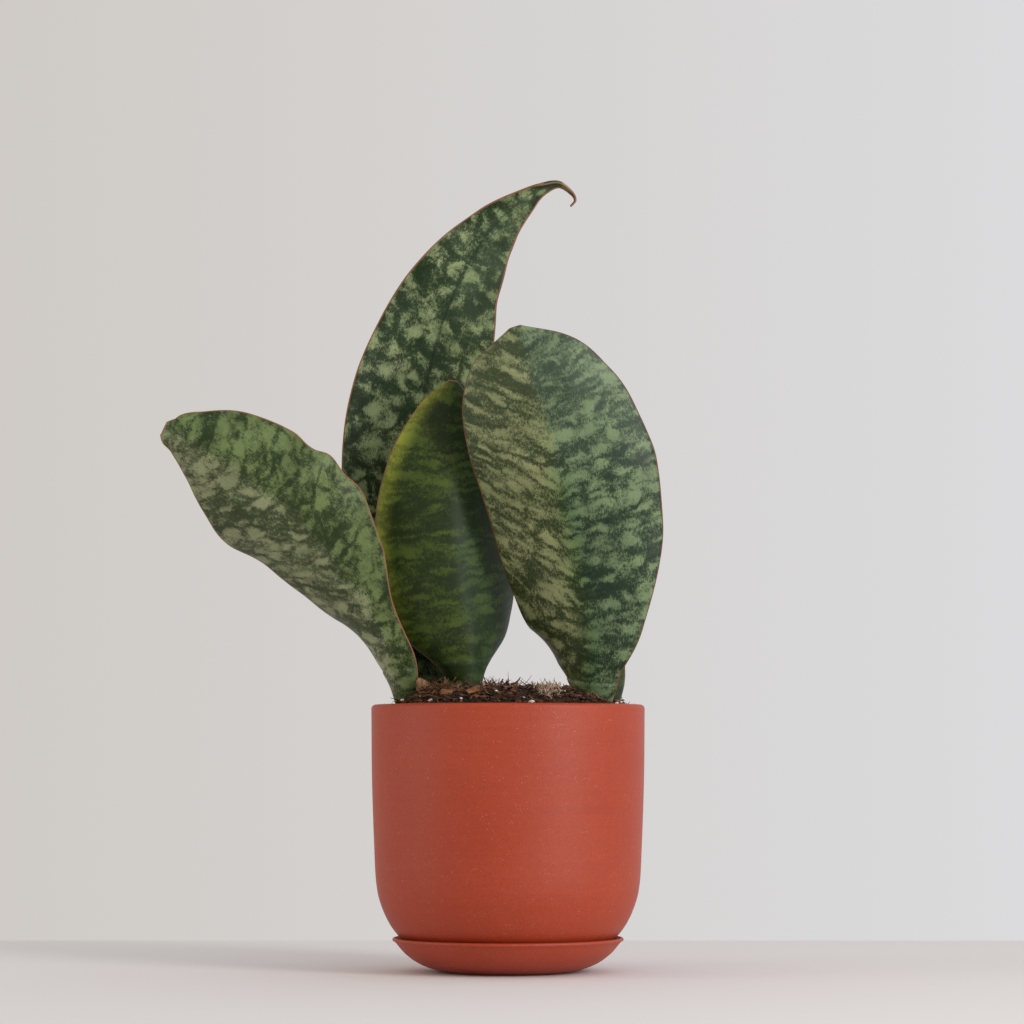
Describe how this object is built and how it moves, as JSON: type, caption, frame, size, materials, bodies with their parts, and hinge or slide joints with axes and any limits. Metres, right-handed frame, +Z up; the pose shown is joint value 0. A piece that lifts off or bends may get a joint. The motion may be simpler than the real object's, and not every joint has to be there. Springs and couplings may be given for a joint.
{
  "type": "potted snake plant",
  "caption": "Broad-leaved snake plant with mottled paddle leaves, rooted in soil in a plain rounded clay pot that stands on a shallow saucer.",
  "frame": {"origin": "middle of the saucer's flat foot, on the surface that the plant stands on", "axes": "+Z up along the pot's axis, +Y to the back of the plant, +X to the right as seen from the front; the left leaf leans to -X and the right leaf is the broad front one"},
  "size_m": [0.2986, 0.165, 0.4855],
  "materials": {
    "pot_clay": "matte fired clay with fine pale specks",
    "saucer_clay": "matte fired clay with fine pale specks",
    "soil": "loose dark bark and coir potting mix with pale grains",
    "leaf": "thick satin leaf, dark green mottled with pale green, thin red-brown margin",
    "rhizome": "fleshy pale underground stem",
    "root": "fleshy pale root",
    "dry_sheath": "dry papery leaf scale",
    "bark": "rough orange-brown bark chip"
  },
  "bodies": {
    "root": {"saucer": "saucer_clay", "pot": "pot_clay", "soil": "soil", "tall_back_leaf": "leaf", "left_leaf": "leaf", "middle_leaf": "leaf", "right_leaf": "leaf", "young_leaf": "leaf", "rhizome": "rhizome", "root_1": "root", "root_2": "root", "root_3": "root", "root_4": "root", "root_5": "root", "root_6": "root", "left_dry_sheath": "dry_sheath", "back_dry_sheath": "dry_sheath", "right_dry_sheath": "dry_sheath", "bark_chip_1": "bark", "bark_chip_2": "bark", "bark_chip_3": "bark", "bark_chip_4": "bark", "bark_chip_5": "bark", "bark_chip_6": "bark", "bark_chip_7": "bark", "bark_chip_8": "bark"}
  },
  "joints": []
}
